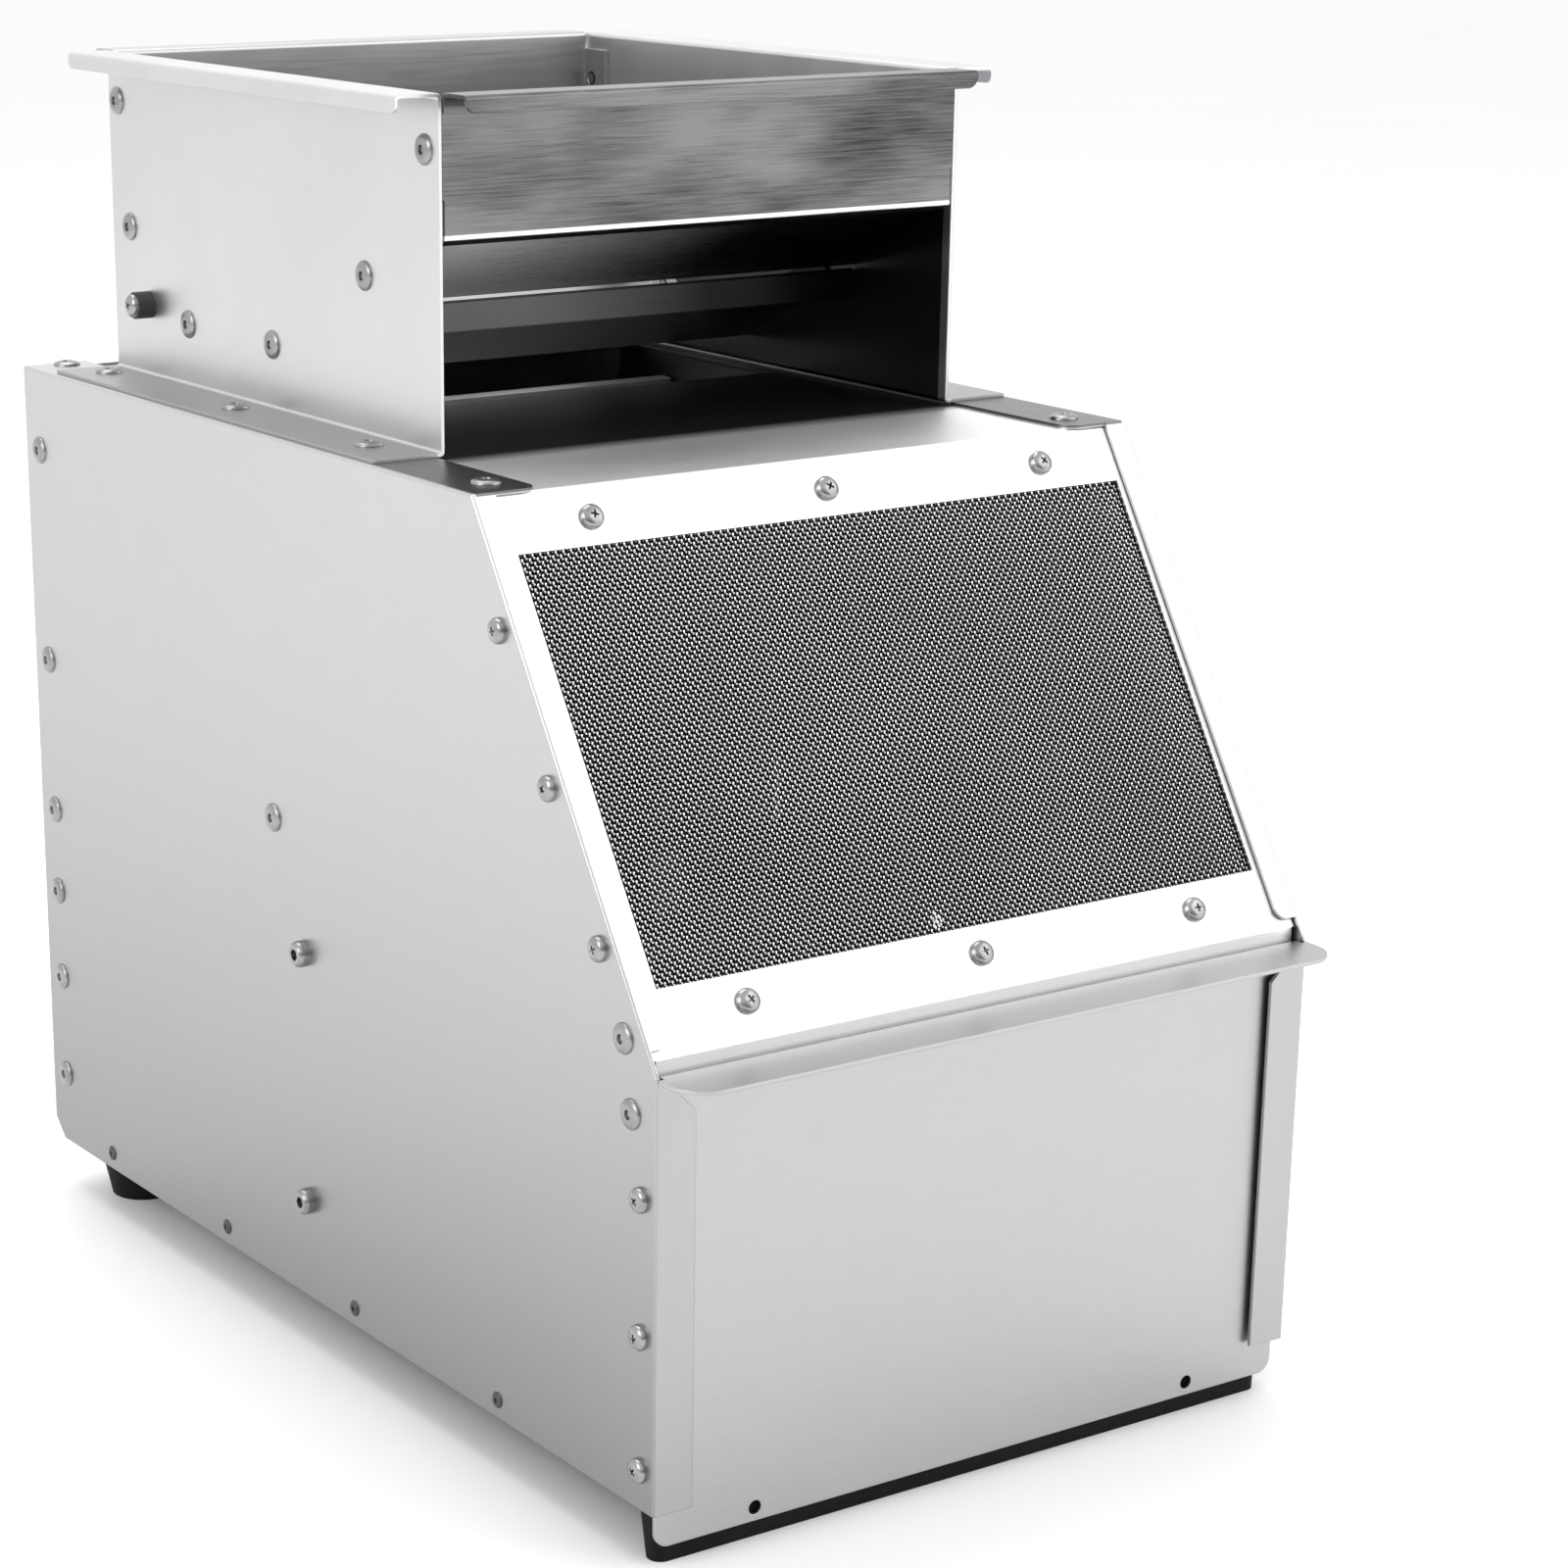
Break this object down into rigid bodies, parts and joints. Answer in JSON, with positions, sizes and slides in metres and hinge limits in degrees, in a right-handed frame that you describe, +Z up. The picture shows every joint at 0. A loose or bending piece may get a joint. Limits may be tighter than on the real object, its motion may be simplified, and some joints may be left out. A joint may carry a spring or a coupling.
{
  "type": "grape crusher destemmer",
  "caption": "Bench-top crusher and destemmer in folded stainless sheet: hopper over fluted rollers, beater in a perforated cage, slanted mesh front and lift-up front gate.",
  "frame": {"origin": "middle of the bounding box on the floor, under the feet", "axes": "+X to the right seen from the gate, +Y from the gate to the rear panel, +Z up"},
  "size_m": [0.2576, 0.425, 0.416],
  "materials": {
    "bearing_iron": "cast",
    "belt_rubber": "matte",
    "black_plastic": "matte",
    "black_rubber": "matte",
    "bronze": "turned",
    "cast_aluminium": "satin",
    "fastener_steel": "polished",
    "motor_paint": "satin",
    "red_plastic": "gloss",
    "shaft_steel": "ground",
    "stainless": "satin",
    "wire": "satin"
  },
  "bodies": {
    "casing": {"base_pan": "stainless", "bearing_bolts": "fastener_steel", "cable_gland": "black_plastic", "cage_standoffs": "shaft_steel", "casing_rivets": "fastener_steel", "casing_screws": "fastener_steel", "deck_plate": "stainless", "destemming_cage": "stainless", "drive_wall": "stainless", "feed_chute_plate": "stainless", "flange_rivets": "fastener_steel", "foot_screws": "fastener_steel", "front_foot_bar": "black_rubber", "hopper_front_plate": "stainless", "hopper_left_plate": "stainless", "hopper_rear_plate": "stainless", "hopper_right_plate": "stainless", "hopper_rivets": "fastener_steel", "hopper_stop_screws": "fastener_steel", "hopper_stop_spacers": "black_plastic", "knee_rail": "stainless", "left_beater_bearing": "bearing_iron", "left_gate_guide": "stainless", "left_side_panel": "stainless", "mesh_backing_frame": "stainless", "mesh_panel_frame": "stainless", "motor_belt": "belt_rubber", "motor_bulkhead": "stainless", "motor_end_cover": "motor_paint", "motor_housing": "motor_paint", "motor_screws": "fastener_steel", "must_tray": "stainless", "pan_rivets": "fastener_steel", "panel_screws": "fastener_steel", "rear_feet": "black_rubber", "rear_panel": "stainless", "right_beater_bearing": "bearing_iron", "right_gate_guide": "stainless", "right_side_panel": "stainless", "roller_belt": "belt_rubber", "roller_bushes": "bronze", "roller_plate": "stainless", "switch_housing": "black_plastic", "transfer_chute": "stainless", "wire_cloth": "wire"},
    "gate": {"gate": "stainless"},
    "beater": {"beater_shaft": "shaft_steel", "beater": "stainless", "beater_pulley": "cast_aluminium", "beater_small_pulley": "cast_aluminium"},
    "motor_rotor": {"motor_shaft": "shaft_steel", "motor_pulley": "cast_aluminium"},
    "front_crusher": {"front_roller": "cast_aluminium", "front_roller_shaft": "shaft_steel", "front_roller_gear": "cast_aluminium"},
    "rear_crusher": {"rear_roller": "cast_aluminium", "rear_roller_shaft": "shaft_steel", "rear_roller_gear": "cast_aluminium", "roller_pulley": "cast_aluminium"},
    "rocker": {"switch_rocker": "red_plastic"}
  },
  "joints": [
    {"name": "gate_slide", "type": "slide", "parent": "casing", "child": "gate", "axis": [0, 0, 1], "range_m": [0, 0.115]},
    {"name": "beater_spin", "type": "hinge", "parent": "casing", "child": "beater", "pos_m": [0, 0.009, 0.0965], "axis": [1, 0, 0], "continuous": true},
    {"name": "motor_spin", "type": "hinge", "parent": "casing", "child": "motor_rotor", "pos_m": [0, 0.1395, 0.0805], "axis": [1, 0, 0], "continuous": true},
    {"name": "front_roller_spin", "type": "hinge", "parent": "casing", "child": "front_crusher", "pos_m": [0, 0.075, 0.2765], "axis": [1, 0, 0], "continuous": true},
    {"name": "rear_roller_spin", "type": "hinge", "parent": "casing", "child": "rear_crusher", "pos_m": [0, 0.121, 0.2765], "axis": [1, 0, 0], "continuous": true},
    {"name": "rocker_tilt", "type": "hinge", "parent": "casing", "child": "rocker", "pos_m": [0.07, 0.2035, 0.2505], "axis": [1, 0, 0], "range_deg": [-14, 0]}
  ],
  "couplings": [
    {"joint": "motor_spin", "follows": "beater_spin", "ratio": 2.4},
    {"joint": "rear_roller_spin", "follows": "beater_spin", "ratio": 0.7},
    {"joint": "front_roller_spin", "follows": "beater_spin", "ratio": -0.7}
  ]
}
